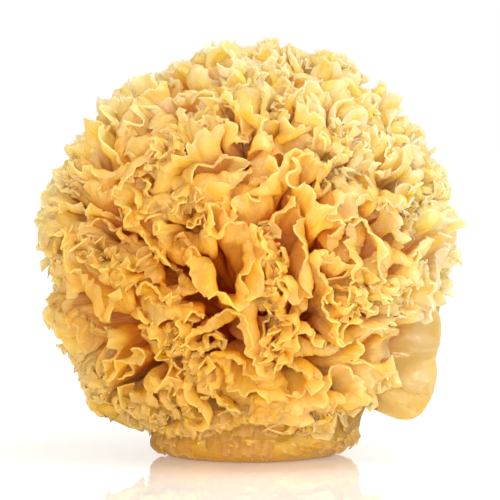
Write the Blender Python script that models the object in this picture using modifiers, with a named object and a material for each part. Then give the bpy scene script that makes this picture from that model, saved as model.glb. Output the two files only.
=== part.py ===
"""A dried snow fungus: a ball of thin, frilled fronds that all fork from one cut foot.

Units are metres and +Z is up. The origin is the middle of the flat cut under the foot,
and -Y is the side that faces the viewer. The fungus is one growth, split here at its
main forks: the foot, and one object for every frond that leaves the foot's knob.
"""

import math
import random
from dataclasses import dataclass

import bmesh
import bpy
from mathutils import Vector

# The ball
BALL_RADIUS = 0.0530
BALL_CENTRE = Vector((0.0, 0.0, 0.0537))
FROND_COUNT = 34
SITE_JITTER = math.radians(6.0)
SPREAD_WIDTH = math.radians(38.0)
SPREAD_STEP = 0.10
SPREAD_ROUNDS = 12

# The ball's departures from round: fuller low down, lumpy, and cleft across the front
SKIRT_FULLNESS = 0.0022
SKIRT_ELEVATION = math.radians(-42.0)
SKIRT_SPREAD = math.radians(20.0)
LUMP_HEIGHT = 0.0009
LUMP_WAVES = ((5.0, 0.0, 2.0, 0.6), (-3.0, 6.0, 0.0, 1.9), (0.0, 2.5, 5.5, 0.0))
CLEFT_ENDS = (Vector((0.24, -0.88, 0.42)).normalized(), Vector((-0.56, -0.80, -0.20)).normalized())
CLEFT_DEPTH = 0.0050
CLEFT_SPREAD = math.radians(9.0)

# The foot
FORK = Vector((0.0, 0.0, 0.033))
KNOB_RADIUS = 0.0115
FOOT_RADIUS = 0.0256
FOOT_RIM_HEIGHT = 0.0070
CUT_RADIUS = 0.0190
FOOT_CONE = math.radians(44.0)
FOOT_STEPS = 36
KNOB_STEPS = 6
FOOT_SWELL = -0.022
FOOT_WAVES = ((2.0, 0.022, 0.7), (5.0, 0.013, 2.1))
FOOT_SHARP = math.radians(40.0)
FOOT_RIM = ((0.975, 1.0), (1.0, 0.66), (0.955, 0.30), (0.86, 0.07))

# The fronds
SHEET_THICKNESS = 0.0012
STALK_START = KNOB_RADIUS + 0.0013
STALK_BLUNTNESS = 1.08
STALK_SHARE = 0.52
FOOT_CAP = math.radians(31.5)
LOWEST_SITE = math.radians(41.5)
CELL_MARGIN = 0.93
PETAL_CHOICES = (4, 5, 5, 6)
PETAL_HALF_WIDTH = 0.34
PETAL_SHIFT = 0.05
MIDDLE_SHIFT = 0.10
SMALLEST_PETAL = 0.80
NOTCH_DROP = 0.8
SWIRL = 0.22
SEED = 41

# The one broad, smooth lobe at the lower right: an upright fan that droops at its tip
LOBE_HEADING = Vector((0.79, -0.32, -0.53)).normalized()
LOBE_NAME = "hanging_lobe"
LOBE_ROWS = 11
LOBE_COLUMNS = 9
LOBE_STALK_SPREAD = 0.28
LOBE_SPREAD = 0.98
LOBE_REACH = 1.05
LOBE_CORNER = 0.16
LOBE_WAVE = 0.36

WORLD_UP = Vector((0.0, 0.0, 1.0))
NEARLY_NOTHING = 1e-6


@dataclass
class Ring:
    """One level of a frond: how far out it lies, and how much of its cell it fills.

    A reach of 1 is the ball's surface and a share of 1 is the cell's edge.
    """

    reach: float
    tip_share: float
    notch_share: float
    raggedness: float


FROND_RINGS = (
    Ring(reach=0.64, tip_share=0.84, notch_share=0.38, raggedness=0.025),
    Ring(reach=1.00, tip_share=1.00, notch_share=0.38, raggedness=0.045),
)


def clear_scene():
    """Removes whatever the file starts with."""
    for obj in list(bpy.data.objects):
        bpy.data.objects.remove(obj, do_unlink=True)


def new_collection(name):
    """A collection of that name in the scene."""
    made = bpy.data.collections.new(name)
    bpy.context.scene.collection.children.link(made)
    return made


def tissue(name, colour, roughness):
    """A matt, slightly waxy fungus tissue."""
    material = bpy.data.materials.new(name)
    material.use_nodes = True
    shader = material.node_tree.nodes["Principled BSDF"]
    shader.inputs["Base Color"].default_value = (*colour, 1.0)
    shader.inputs["Roughness"].default_value = roughness
    shader.inputs["Metallic"].default_value = 0.0
    material.diffuse_color = (*colour, 1.0)
    return material


def tangents(site):
    """Two directions along the ball's surface at a site: eastward and upward."""
    east = WORLD_UP.cross(site)
    if east.length < NEARLY_NOTHING:
        east = Vector((1.0, 0.0, 0.0))
    east.normalize()
    return east, site.cross(east).normalized()


def moved_on_ball(site, heading, angle):
    """The direction reached from a site by going that angle along a heading."""
    east, north = tangents(site)
    along = east * math.cos(heading) + north * math.sin(heading)
    return site * math.cos(angle) + along * math.sin(angle)


def ball_radius(direction):
    """How far the fronds' rims lie from the ball's centre in a direction."""
    elevation = math.asin(max(-1.0, min(1.0, direction.z)))
    skirt = math.exp(-(((elevation - SKIRT_ELEVATION) / SKIRT_SPREAD) ** 2))
    lumps = sum(math.sin(direction.dot(Vector(wave[:3])) + wave[3]) for wave in LUMP_WAVES)
    start, end = CLEFT_ENDS
    along = end - start
    share = max(0.0, min(1.0, (direction - start).dot(along) / along.length_squared))
    off = direction.angle(start + along * share)
    cleft = math.exp(-((off / CLEFT_SPREAD) ** 2))
    return BALL_RADIUS + SKIRT_FULLNESS * skirt + LUMP_HEIGHT * lumps - CLEFT_DEPTH * cleft


def on_ball(direction):
    """The point of the ball's outer surface in a direction from its centre."""
    return BALL_CENTRE + direction * ball_radius(direction)


def frond_sites():
    """Directions of the fronds from the ball's centre: a loosened spiral from the top down."""
    rnd = random.Random(SEED)
    golden_turn = math.pi * (3.0 - math.sqrt(5.0))
    sites = []
    for i in range(FROND_COUNT):
        height = 1.0 - (1.0 + math.cos(LOWEST_SITE)) * (i + 0.5) / FROND_COUNT
        across = math.sqrt(1.0 - height * height)
        turn = i * golden_turn
        site = Vector((across * math.cos(turn), across * math.sin(turn), height))
        loose = moved_on_ball(site, rnd.uniform(0, math.tau), rnd.uniform(0, SITE_JITTER))
        sites.append(loose if loose.z > -math.cos(LOWEST_SITE) else site)
    lobe = min(range(FROND_COUNT), key=lambda i: sites[i].angle(LOBE_HEADING))
    sites[lobe] = LOBE_HEADING.copy()
    return spread_out(sites, lobe), lobe


def spread_out(sites, fixed):
    """The same sites pushed apart where they crowd each other, with one of them held."""
    for _ in range(SPREAD_ROUNDS):
        moved = []
        for index, site in enumerate(sites):
            push = Vector((0.0, 0.0, 0.0))
            for other_index, other in enumerate(sites):
                gap = site.angle(other) if other_index != index else math.pi
                if gap < SPREAD_WIDTH:
                    push += (site - other).normalized() * (SPREAD_WIDTH - gap)
            pushed = (site + push * SPREAD_STEP).normalized()
            keeps = index == fixed or pushed.z < -math.cos(LOWEST_SITE)
            moved.append(site if keeps else pushed)
        sites = moved
    return sites


def cell_edge(index, sites, heading):
    """The angle from a site to the edge of its own cell, along a heading.

    Half of the ball's surface between two sites belongs to each, and the cap under the
    ball belongs to the foot.
    """
    site = sites[index]
    east, north = tangents(site)
    along = east * math.cos(heading) + north * math.sin(heading)
    edge = math.pi / 2
    for other_index, other in enumerate(sites):
        towards = along.dot(other)
        if other_index != index and towards > 0.0:
            edge = min(edge, math.atan2(1.0 - site.dot(other), towards))
    swing = math.hypot(site.z, along.z)
    if swing > math.cos(FOOT_CAP):
        lowest = math.atan2(-along.z, -site.z)
        to_foot = (lowest - math.acos(math.cos(FOOT_CAP) / swing)) % math.tau
        edge = min(edge, to_foot)
    return edge


def place(index, sites, heading, share, reach):
    """A point of a frond.

    share is how much of the way to the cell's edge it lies, and reach how much of the
    way from the fork to the ball's surface. Cells don't overlap as seen from the fork,
    so fronds placed this way never meet.
    """
    angle = share * CELL_MARGIN * cell_edge(index, sites, heading)
    surface = on_ball(moved_on_ball(sites[index], heading, angle))
    return FORK + (surface - FORK) * reach


def stalk_reach(index, sites):
    """How far out a frond leaves the knob, as a share of the way to the ball's surface."""
    return STALK_START / (on_ball(sites[index]) - FORK).length


def stalk_ring(index, sites, knots):
    """The small even ring where a frond's blunt lower end begins to open out."""
    reach = stalk_reach(index, sites) * STALK_BLUNTNESS
    return [place(index, sites, heading, STALK_SHARE, reach) for heading, _ in knots]


def frond_knots(rnd):
    """(heading, is_tip) of the points round a frond: a petal's three, then the notch after it."""
    petals = rnd.choice(PETAL_CHOICES)
    sector = math.tau / petals
    turn = rnd.uniform(0, math.tau)
    knots = []
    for petal in range(petals):
        axis = turn + sector * (petal + rnd.uniform(-PETAL_SHIFT, PETAL_SHIFT))
        middle = rnd.uniform(-MIDDLE_SHIFT, MIDDLE_SHIFT)
        for side in (-PETAL_HALF_WIDTH, middle, PETAL_HALF_WIDTH):
            knots.append((axis + side * sector, True))
        knots.append((axis + 0.5 * sector, False))
    return knots


def frond_cage(index, sites):
    """The rings of points of one frond, a deep funnel pleated into petals, from neck to rim."""
    rnd = random.Random(SEED * 1000 + index)
    knots = frond_knots(rnd)
    fullness = [rnd.uniform(SMALLEST_PETAL, 1.0) for _ in knots]
    lift = [rnd.uniform(-1.0, 1.0) for _ in knots]
    swirl = rnd.uniform(-SWIRL, SWIRL)
    rings = [stalk_ring(index, sites, knots)]
    for ring in FROND_RINGS:
        points = []
        for (heading, is_tip), full, rise in zip(knots, fullness, lift):
            share = (ring.tip_share if is_tip else ring.notch_share) * full
            drop = 0.0 if is_tip else NOTCH_DROP
            reach = ring.reach + ring.raggedness * (rise - drop)
            turned = heading + swirl * ring.reach
            points.append(place(index, sites, turned, share, reach))
        rings.append(points)
    return rings


def sheet_object(name, form, stalk_end, material, collection):
    """The object of an open sheet, with its origin at its stalk's end and its wall thickness."""
    bmesh.ops.translate(form, verts=form.verts, vec=-stalk_end)
    bmesh.ops.recalc_face_normals(form, faces=form.faces)
    mesh = bpy.data.meshes.new(name)
    form.to_mesh(mesh)
    form.free()
    mesh.materials.append(material)
    sheet = bpy.data.objects.new(name, mesh)
    sheet.location = stalk_end
    wall = sheet.modifiers.new("wall", "SOLIDIFY")
    wall.thickness = SHEET_THICKNESS
    wall.offset = 0.0
    wall.use_quality_normals = True
    collection.objects.link(sheet)
    return sheet


def make_frond(name, index, sites, material, collection):
    """A funnel-shaped frond: a cone's side, extruded to more rings, pleated into petals."""
    rings = frond_cage(index, sites)
    form = bmesh.new()
    bmesh.ops.create_cone(
        form, cap_ends=False, segments=len(rings[0]), radius1=0.0, radius2=1.0, depth=1.0
    )
    rim = [edge for edge in form.edges if edge.is_boundary]
    loops = [ordered_rim(rim)]
    for _ in rings[1:]:
        grown = bmesh.ops.extrude_edge_only(form, edges=rim)["geom"]
        edges = [item for item in grown if isinstance(item, bmesh.types.BMEdge)]
        rim = [edge for edge in edges if edge.is_boundary]
        loops.append(ordered_rim(rim, loops[-1]))
    on_rings = {vert for loop in loops for vert in loop}
    pole = next(vert for vert in form.verts if vert not in on_rings)
    stalk_end = place(index, sites, 0.0, 0.0, stalk_reach(index, sites))
    pole.co = stalk_end
    for loop, points in zip(loops, rings):
        for vert, point in zip(loop, points):
            vert.co = point
    return sheet_object(name, form, stalk_end, material, collection)


def ordered_rim(edges, below=None):
    """The vertices of a closed rim in order round it, starting over the first vertex below."""
    links = {}
    for edge in edges:
        first, second = edge.verts
        links.setdefault(first, []).append(second)
        links.setdefault(second, []).append(first)
    if below is None:
        start = max(links, key=lambda vert: vert.co.x)
        following = max(links[start], key=lambda vert: vert.co.y)
    else:
        start = next(vert for vert in links if (vert.co - below[0].co).length < NEARLY_NOTHING)
        beside = below[1].co
        following = next(vert for vert in links[start] if (vert.co - beside).length < NEARLY_NOTHING)
    loop = [start, following]
    while len(loop) < len(links):
        ahead = [vert for vert in links[loop[-1]] if vert is not loop[-2]]
        loop.append(ahead[0])
    return loop


def make_hanging_lobe(index, sites, material, collection):
    """An upright fan from the fork to the ball's side, with a rounded, gently waved edge."""
    start = stalk_reach(index, sites)
    form = bmesh.new()
    bmesh.ops.create_grid(form, x_segments=LOBE_COLUMNS - 1, y_segments=LOBE_ROWS - 1, size=1.0)
    for vert in form.verts:
        outward = (vert.co.x + 1.0) / 2.0
        upward = vert.co.y
        edge = LOBE_REACH * (1.0 - LOBE_CORNER * upward**4)
        opened = math.sin(outward * math.pi / 2.0)
        rise = upward * (LOBE_STALK_SPREAD + (LOBE_SPREAD - LOBE_STALK_SPREAD) * opened)
        sideways = LOBE_WAVE * outward * math.sin(math.pi * upward + outward)
        reach = start + (edge - start) * outward
        heading = math.atan2(rise, sideways)
        vert.co = place(index, sites, heading, math.hypot(rise, sideways), reach)
    stalk_end = place(index, sites, 0.0, 0.0, start)
    return sheet_object(LOBE_NAME, form, stalk_end, material, collection)


def foot_profile():
    """(radius, height) down the foot's outer side, from the knob's top to the cut's middle."""
    points = []
    for i in range(KNOB_STEPS + 1):
        angle = (math.pi - FOOT_CONE) * i / KNOB_STEPS
        points.append((KNOB_RADIUS * math.sin(angle), FORK.z + KNOB_RADIUS * math.cos(angle)))
    neck_height = points[-1][1]
    for share in (0.35, 0.70):
        height = neck_height + (FOOT_RIM_HEIGHT - neck_height) * share
        points.append(((FORK.z - height) * math.tan(FOOT_CONE), height))
    for radius_share, height_share in FOOT_RIM:
        points.append((FOOT_RADIUS * radius_share, FOOT_RIM_HEIGHT * height_share))
    points.append((CUT_RADIUS, 0.0))
    points.append((0.0, 0.0))
    return points


def turned(profile, steps):
    """The closed mesh that a profile sweeps round the Z axis."""
    outline = bmesh.new()
    verts = [outline.verts.new((radius, 0.0, height)) for radius, height in profile]
    for upper, lower in zip(verts, verts[1:]):
        outline.edges.new((upper, lower))
    line = bpy.data.meshes.new("profile")
    outline.to_mesh(line)
    outline.free()
    guide = bpy.data.objects.new("profile", line)
    bpy.context.scene.collection.objects.link(guide)
    screw = guide.modifiers.new("turn", "SCREW")
    screw.steps = steps
    screw.render_steps = steps
    screw.use_merge_vertices = True
    screw.merge_threshold = NEARLY_NOTHING
    bpy.context.view_layer.update()
    evaluated = guide.evaluated_get(bpy.context.evaluated_depsgraph_get())
    mesh = bpy.data.meshes.new_from_object(evaluated)
    bpy.data.objects.remove(guide, do_unlink=True)
    bpy.data.meshes.remove(line)
    return mesh


def make_foot(material, collection):
    """The foot: a turned body with a flat cut below, slightly out of round at its rim."""
    mesh = turned(foot_profile(), FOOT_STEPS)
    mesh.name = "foot"
    for vert in mesh.vertices:
        turn = math.atan2(vert.co.y, vert.co.x)
        outward = math.hypot(vert.co.x, vert.co.y) / FOOT_RADIUS
        wave = sum(size * math.sin(count * turn + phase) for count, size, phase in FOOT_WAVES)
        swell = 1.0 + (FOOT_SWELL + wave) * outward**2
        vert.co.x *= swell
        vert.co.y *= swell
    mesh.shade_smooth()
    mesh.set_sharp_from_angle(angle=FOOT_SHARP)
    mesh.materials.clear()
    mesh.materials.append(material)
    foot = bpy.data.objects.new("foot", mesh)
    collection.objects.link(foot)
    return foot


def main():
    """Builds the foot and its fronds."""
    clear_scene()
    fungus = new_collection("snow_fungus")
    frond_tissue = tissue("frond_tissue", (0.93, 0.76, 0.38), 0.45)
    foot_tissue = tissue("foot_tissue", (0.87, 0.64, 0.26), 0.40)
    sites, lobe_index = frond_sites()
    make_foot(foot_tissue, fungus)
    number = 0
    for index in range(len(sites)):
        if index == lobe_index:
            make_hanging_lobe(index, sites, frond_tissue, fungus)
            continue
        number += 1
        make_frond(f"frond_{number:02d}", index, sites, frond_tissue, fungus)


main()
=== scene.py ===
"""A dried snow fungus: a ball of frilled, translucent sheets on a gel foot that is cut flat below.

Each frilled sheet starts as the pleated funnel that its solid in the frame has, and is then grown. Its rim
lengthens while it stays in its own share of the ball and off its neighbours, so it buckles into ruffles.
"""
import logging
import math
import random
from collections.abc import Callable, Sequence
from dataclasses import dataclass, field, replace
from enum import Enum
from itertools import chain

import bpy
import numpy as np
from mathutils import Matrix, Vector


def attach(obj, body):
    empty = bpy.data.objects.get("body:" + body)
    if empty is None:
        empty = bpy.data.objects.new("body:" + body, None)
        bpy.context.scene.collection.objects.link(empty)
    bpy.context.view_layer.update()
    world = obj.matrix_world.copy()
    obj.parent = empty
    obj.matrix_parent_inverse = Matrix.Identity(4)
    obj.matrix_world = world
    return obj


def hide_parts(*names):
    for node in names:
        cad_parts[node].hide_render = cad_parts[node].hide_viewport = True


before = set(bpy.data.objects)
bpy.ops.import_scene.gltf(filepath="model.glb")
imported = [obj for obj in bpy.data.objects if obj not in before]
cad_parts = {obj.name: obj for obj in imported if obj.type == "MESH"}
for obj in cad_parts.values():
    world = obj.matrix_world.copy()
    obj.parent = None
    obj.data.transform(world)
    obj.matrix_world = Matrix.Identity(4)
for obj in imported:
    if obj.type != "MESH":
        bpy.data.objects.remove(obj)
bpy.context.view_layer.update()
BODY = "root"
LOG = logging.getLogger("snow_fungus")
TINY = 1e-9
UV_PER_METRE = 100.0
SMOOTH_ANGLE = math.radians(62.0)


class Slot(Enum):
    """The record's material slots."""

    FROND = "frond_tissue"
    FOOT = "foot_tissue"


def unit(vectors: np.ndarray) -> np.ndarray:
    """Vectors along the last axis, made one long."""
    return vectors / np.linalg.norm(vectors, axis=-1, keepdims=True)


def next_round(points: np.ndarray, step: int) -> np.ndarray:
    """The points of the column that many steps back round the sheet."""
    return np.roll(points, step, axis=2)


def ramp(value: np.ndarray, low: float, high: float) -> np.ndarray:
    """How far values have come from low to high, from 0 to 1."""
    return np.clip((value - low) / (high - low), 0.0, 1.0)


def nearness(direction: np.ndarray, heading: Sequence[float], spread: float) -> np.ndarray:
    """How near directions are to a heading, from 1 on it to 0 well beyond the spread."""
    away = np.arccos(np.clip(direction @ unit(np.array(heading)), -1.0, 1.0))
    return np.exp(-((away / spread) ** 2))


def wave_sum(direction: np.ndarray, waves: Sequence[Sequence[float]]) -> np.ndarray:
    """The sum of some waves over the ball, each given as (x, y, z, phase)."""
    return sum(np.sin(direction @ np.array(wave[:3]) + wave[3]) for wave in waves)


def smooth_rings(values: np.ndarray) -> None:
    """Smooths values along the rings, in place."""
    values[:, 1:-1] = (values[:, 1:-1] + values[:, 2:] + values[:, :-2]) / 3.0


def soft_noise(rng: np.random.Generator, shape: tuple[int, ...], passes: int) -> np.ndarray:
    """Noise over the sheets, with a spread of one.

    Args:
        rng: the seeded source of numbers.
        shape: (fronds, rings, columns) and any further axes.
        passes: how often it is smoothed round the columns and along the rings.

    Returns:
        The noise.
    """
    noise = rng.normal(size=shape)
    for _ in range(passes):
        noise = (noise + next_round(noise, 1) + next_round(noise, -1)) / 3.0
        if shape[1] > 2:
            smooth_rings(noise)
    return noise / noise.std()


@dataclass(frozen=True)
class BallForm:
    """The round body of the head, laid out as the frame's solids are.

    A direction counts from the ball's centre. A share counts from the fork, where the fronds part, to the
    ball's surface. A swelling is (x, y, z, spread, height).
    """

    radius: float = 0.0530
    centre: tuple[float, float, float] = (0.0, 0.0, 0.0537)
    fork: tuple[float, float, float] = (0.0, 0.0, 0.033)
    skirt_fullness: float = 0.0022
    skirt_elevation: float = math.radians(-42.0)
    skirt_spread: float = math.radians(20.0)
    lump_height: float = 0.0009
    lump_waves: tuple[tuple[float, ...], ...] = ((5, 0, 2, 0.6), (-3, 6, 0, 1.9), (0, 2.5, 5.5, 0))
    cleft_start: tuple[float, float, float] = (0.24, -0.88, 0.42)
    cleft_end: tuple[float, float, float] = (-0.56, -0.80, -0.20)
    cleft_depth: float = 0.0050
    cleft_spread: float = math.radians(9.0)
    swellings: tuple[tuple[float, ...], ...] = ()

    def cleft(self, direction: np.ndarray) -> np.ndarray:
        """How much of the deep cleft lies at each direction, from 0 to 1."""
        start, end = unit(np.array(self.cleft_start)), unit(np.array(self.cleft_end))
        along = end - start
        share = np.clip((direction - start) @ along / (along @ along), 0.0, 1.0)
        nearest = unit(start + share[..., None] * along)
        away = np.arccos(np.clip((direction * nearest).sum(-1), -1.0, 1.0))
        return np.exp(-((away / self.cleft_spread) ** 2))

    def radius_at(self, direction: np.ndarray) -> np.ndarray:
        """The ball's radius towards each direction."""
        elevation = np.arcsin(np.clip(direction[..., 2], -1.0, 1.0))
        skirt = np.exp(-(((elevation - self.skirt_elevation) / self.skirt_spread) ** 2))
        lumps = wave_sum(direction, self.lump_waves)
        full = self.radius + self.skirt_fullness * skirt + self.lump_height * lumps
        for *heading, spread, height in self.swellings:
            full = full + height * nearness(direction, heading, spread)
        return full - self.cleft_depth * self.cleft(direction)

    def surface(self, direction: np.ndarray) -> np.ndarray:
        """The points of the ball's surface towards each direction."""
        return np.array(self.centre) + direction * self.radius_at(direction)[..., None]

    def place(self, direction: np.ndarray, share: np.ndarray) -> np.ndarray:
        """The points at a share of the way from the fork to the surface at each direction."""
        fork = np.array(self.fork)
        return fork + np.asarray(share)[..., None] * (self.surface(direction) - fork)

    def seen_from_fork(self, points: np.ndarray) -> tuple[np.ndarray, np.ndarray]:
        """Where points lie.

        Args:
            points: places in the frame.

        Returns:
            Their directions on the ball, and their shares of the way from the fork.
        """
        fork, centre = np.array(self.fork), np.array(self.centre)
        offset = fork - centre
        away = points - fork
        distance = np.linalg.norm(away, axis=-1)
        ray = away / distance[..., None]
        slant = ray @ offset
        radius = np.full(distance.shape, self.radius)
        for _ in range(2):
            reach = -slant + np.sqrt(slant * slant - offset @ offset + radius * radius)
            direction = unit(offset + reach[..., None] * ray)
            radius = self.radius_at(direction)
        return direction, distance / reach


BALL = BallForm()
GROWING_ROOM = replace(
    BALL,
    cleft_depth=0.0010,
    swellings=(
        (0.58, -0.35, -0.76, 0.19, -0.0060),
        (0.62, 0.00, -0.79, 0.19, -0.0050),
        (0.99, -0.10, -0.03, 0.38, 0.0022),
        (0.45, -0.05, 0.89, 0.24, 0.0026),
        (-0.10, -0.05, 0.99, 0.30, -0.0026),
        (-0.55, -0.05, 0.83, 0.20, -0.0026),
        (-0.70, -0.05, 0.70, 0.07, 0.0035),
        (-0.96, -0.10, 0.25, 0.30, -0.0012),
        (-0.66, -0.15, -0.73, 0.13, 0.0012),
        (-0.50, -0.25, -0.83, 0.22, -0.0045),
        (0.80, -0.05, 0.60, 0.22, 0.0022),
    ),
)


@dataclass
class FrondLayout:
    """Where on the ball each frond and the lobe sit, as in the frame's solids."""

    count: int = 34
    seed: int = 41
    jitter: float = math.radians(6.0)
    spread_width: float = math.radians(38.0)
    spread_step: float = 0.10
    spread_rounds: int = 12
    foot_cap: float = math.radians(31.5)
    lowest_site: float = math.radians(41.5)
    cell_margin: float = 0.93
    lobe_heading: tuple[float, float, float] = (0.79, -0.32, -0.53)
    sites: np.ndarray = field(init=False)
    lobe_index: int = field(init=False)

    def __post_init__(self) -> None:
        """Places the sites."""
        lobe = unit(np.array(self.lobe_heading))
        floor_height = -math.cos(self.lowest_site)
        rnd = random.Random(self.seed)
        golden = math.pi * (3.0 - math.sqrt(5.0))
        sites = []
        for index in range(self.count):
            height = 1.0 - (1.0 - floor_height) * (index + 0.5) / self.count
            across = math.sqrt(1.0 - height * height)
            site = np.array([across * math.cos(index * golden), across * math.sin(index * golden), height])
            loose = self.moved(site, rnd.uniform(0.0, math.tau), rnd.uniform(0.0, self.jitter))
            sites.append(loose if loose[2] > floor_height else site)
        self.lobe_index = max(range(self.count), key=lambda index: sites[index] @ lobe)
        sites[self.lobe_index] = lobe
        self.sites = np.array(sites)
        for _ in range(self.spread_rounds):
            self.sites = self.spread_out(floor_height)

    def spread_out(self, floor_height: float) -> np.ndarray:
        """The sites after each has moved a little away from those near it.

        Args:
            floor_height: the lowest that a site may move to.

        Returns:
            The new sites.
        """
        spread = self.sites.copy()
        for index, site in enumerate(self.sites):
            push = np.zeros(3)
            for other in np.delete(self.sites, index, axis=0):
                gap = math.acos(max(-1.0, min(1.0, float(site @ other))))
                if gap < self.spread_width:
                    push += unit(site - other) * (self.spread_width - gap)
            moved = unit(site + self.spread_step * push)
            if index != self.lobe_index and moved[2] > floor_height:
                spread[index] = moved
        return spread

    @staticmethod
    def tangents(site: np.ndarray) -> tuple[np.ndarray, np.ndarray]:
        """The directions east and north on the ball at a site."""
        east = np.cross([0.0, 0.0, 1.0], site)
        east = unit(east) if np.linalg.norm(east) > 1e-6 else np.array([1.0, 0.0, 0.0])
        return east, unit(np.cross(site, east))

    @classmethod
    def moved(cls, site: np.ndarray, heading: np.ndarray | float, angle: np.ndarray | float) -> np.ndarray:
        """Directions an angle away from a site along a heading."""
        east, north = cls.tangents(site)
        heading, angle = np.asarray(heading)[..., None], np.asarray(angle)[..., None]
        along = east * np.cos(heading) + north * np.sin(heading)
        return site * np.cos(angle) + along * np.sin(angle)

    def cell_edge(self, index: int, heading: np.ndarray) -> np.ndarray:
        """How far a frond's share of the ball reaches.

        Args:
            index: the frond's site.
            heading: the headings to look along.

        Returns:
            The angle from the site to the edge along each heading.
        """
        site = self.sites[index]
        east, north = self.tangents(site)
        along = east * np.cos(heading)[..., None] + north * np.sin(heading)[..., None]
        edge = np.full(heading.shape, math.pi / 2.0)
        for other in np.delete(self.sites, index, axis=0):
            towards = along @ other
            crossing = np.arctan2(1.0 - site @ other, towards)
            edge = np.minimum(edge, np.where(towards > 0.0, crossing, math.pi))
        swing = np.hypot(site[2], along[..., 2])
        lowest = np.arctan2(-along[..., 2], -site[2])
        inside = np.clip(math.cos(self.foot_cap) / swing, -1.0, 1.0)
        to_foot = (lowest - np.arccos(inside)) % math.tau
        return np.minimum(edge, np.where(swing > math.cos(self.foot_cap), to_foot, math.pi))

    def point(self, index: int, heading: np.ndarray, share: np.ndarray, reach: np.ndarray) -> np.ndarray:
        """Points of the sheet at a site.

        Args:
            index: the sheet's site.
            heading: headings round the site.
            share: shares of the way to the edge of its part of the ball.
            reach: shares of the way from the fork to the ball's surface.

        Returns:
            The points.
        """
        angle = share * self.cell_margin * self.cell_edge(index, heading)
        return BALL.place(self.moved(self.sites[index], heading, angle), reach)


@dataclass(frozen=True)
class PleatedFunnel:
    """The plain form that a frond has in the frame, from which its ruffles grow."""

    rings: int = 18
    columns: int = 88
    rim_closeness: float = 0.85
    outline_steps: int = 720
    width: float = 1.0
    petal_choices: tuple[int, ...] = (4, 5, 5, 6)
    half_width: float = 0.34
    petal_shift: float = 0.05
    middle_shift: float = 0.10
    smallest_petal: float = 0.80
    notch_share: float = 0.38
    stalk_share: float = 0.45
    shoulder_reach: float = 0.64
    shoulder_share: float = 0.84
    swirl: float = 0.22
    stalk_distance: float = 0.0128

    def levels(self) -> np.ndarray:
        """How far out each ring lies, from 0 at the stalk to 1 at the rim."""
        return np.linspace(0.0, 1.0, self.rings) ** self.rim_closeness

    def knots(self, layout: FrondLayout, index: int) -> tuple[np.ndarray, np.ndarray, np.ndarray, float]:
        """The corners of a frond's petals.

        Args:
            layout: where the fronds sit.
            index: the frond's site.

        Returns:
            The corners' headings, which of them are petal, how full each is, and the frond's swirl.
        """
        rnd = random.Random(layout.seed * 1000 + index)
        petals = rnd.choice(self.petal_choices)
        sector = math.tau / petals
        turn = rnd.uniform(0.0, math.tau)
        heading, petal_knot = [], []
        for petal in range(petals):
            axis = turn + sector * (petal + rnd.uniform(-self.petal_shift, self.petal_shift))
            middle = rnd.uniform(-self.middle_shift, self.middle_shift)
            heading += [axis + side * sector for side in (-self.half_width, middle, self.half_width, 0.5)]
            petal_knot += [True, True, True, False]
        fullness = [rnd.uniform(self.smallest_petal, 1.0) for _ in heading]
        for _ in heading:
            rnd.uniform(-1.0, 1.0)  # The frame's solids draw their rims' heights here, before the swirl.
        swirl = rnd.uniform(-self.swirl, self.swirl)
        return np.array(heading), np.array(petal_knot), np.array(fullness), swirl

    def sheet(self, layout: FrondLayout, index: int) -> np.ndarray:
        """The points of one frond's funnel.

        Args:
            layout: where the fronds sit.
            index: the frond's site.

        Returns:
            An array of rings by columns by three.
        """
        heading, petal, fullness, swirl = self.knots(layout, index)
        corners = np.append(heading, heading[0] + math.tau)
        rim = np.where(petal, 1.0, self.notch_share) * fullness
        fine = np.linspace(corners[0], corners[-1], self.outline_steps + 1)
        width = np.interp(fine, corners, np.append(rim, rim[0]))
        steps = np.hypot(np.diff(width * np.cos(fine)), np.diff(width * np.sin(fine)))
        travelled = np.concatenate([[0.0], np.cumsum(steps)])
        columns = np.interp(np.arange(self.columns) / self.columns * travelled[-1], travelled, fine)
        tip = BALL.surface(layout.sites[index]) - np.array(BALL.fork)
        stalk = self.stalk_distance / np.linalg.norm(tip)
        rings = []
        for reach in stalk + (1.0 - stalk) * self.levels():
            share = np.interp(columns, corners, self.ring_shares(reach, stalk, petal, fullness))
            for _ in range(2):
                share = 0.25 * np.roll(share, 1) + 0.5 * share + 0.25 * np.roll(share, -1)
            share = share * self.width
            heading = columns + swirl * reach
            rings.append(layout.point(index, heading, share, np.full(self.columns, reach)))
        return np.array(rings)

    def ring_shares(self, reach: float, stalk: float, petal: np.ndarray, fullness: np.ndarray) -> np.ndarray:
        """How wide a ring is at each corner.

        Args:
            reach: how far out the ring lies.
            stalk: where the stalk ends.
            petal: which corners are petal.
            fullness: how full each corner is.

        Returns:
            The shares of the way to the edge, with the first one again at the end.
        """
        if reach < self.shoulder_reach:
            out = (reach - stalk) / (self.shoulder_reach - stalk)
            tip = self.stalk_share + (self.shoulder_share - self.stalk_share) * out
            notch = self.stalk_share + (self.notch_share - self.stalk_share) * out
        else:
            out = (reach - self.shoulder_reach) / (1.0 - self.shoulder_reach)
            tip = self.shoulder_share + (1.0 - self.shoulder_share) * out
            notch = self.notch_share
        share = np.where(petal, tip, notch) * fullness
        return np.append(share, share[0])


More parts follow.
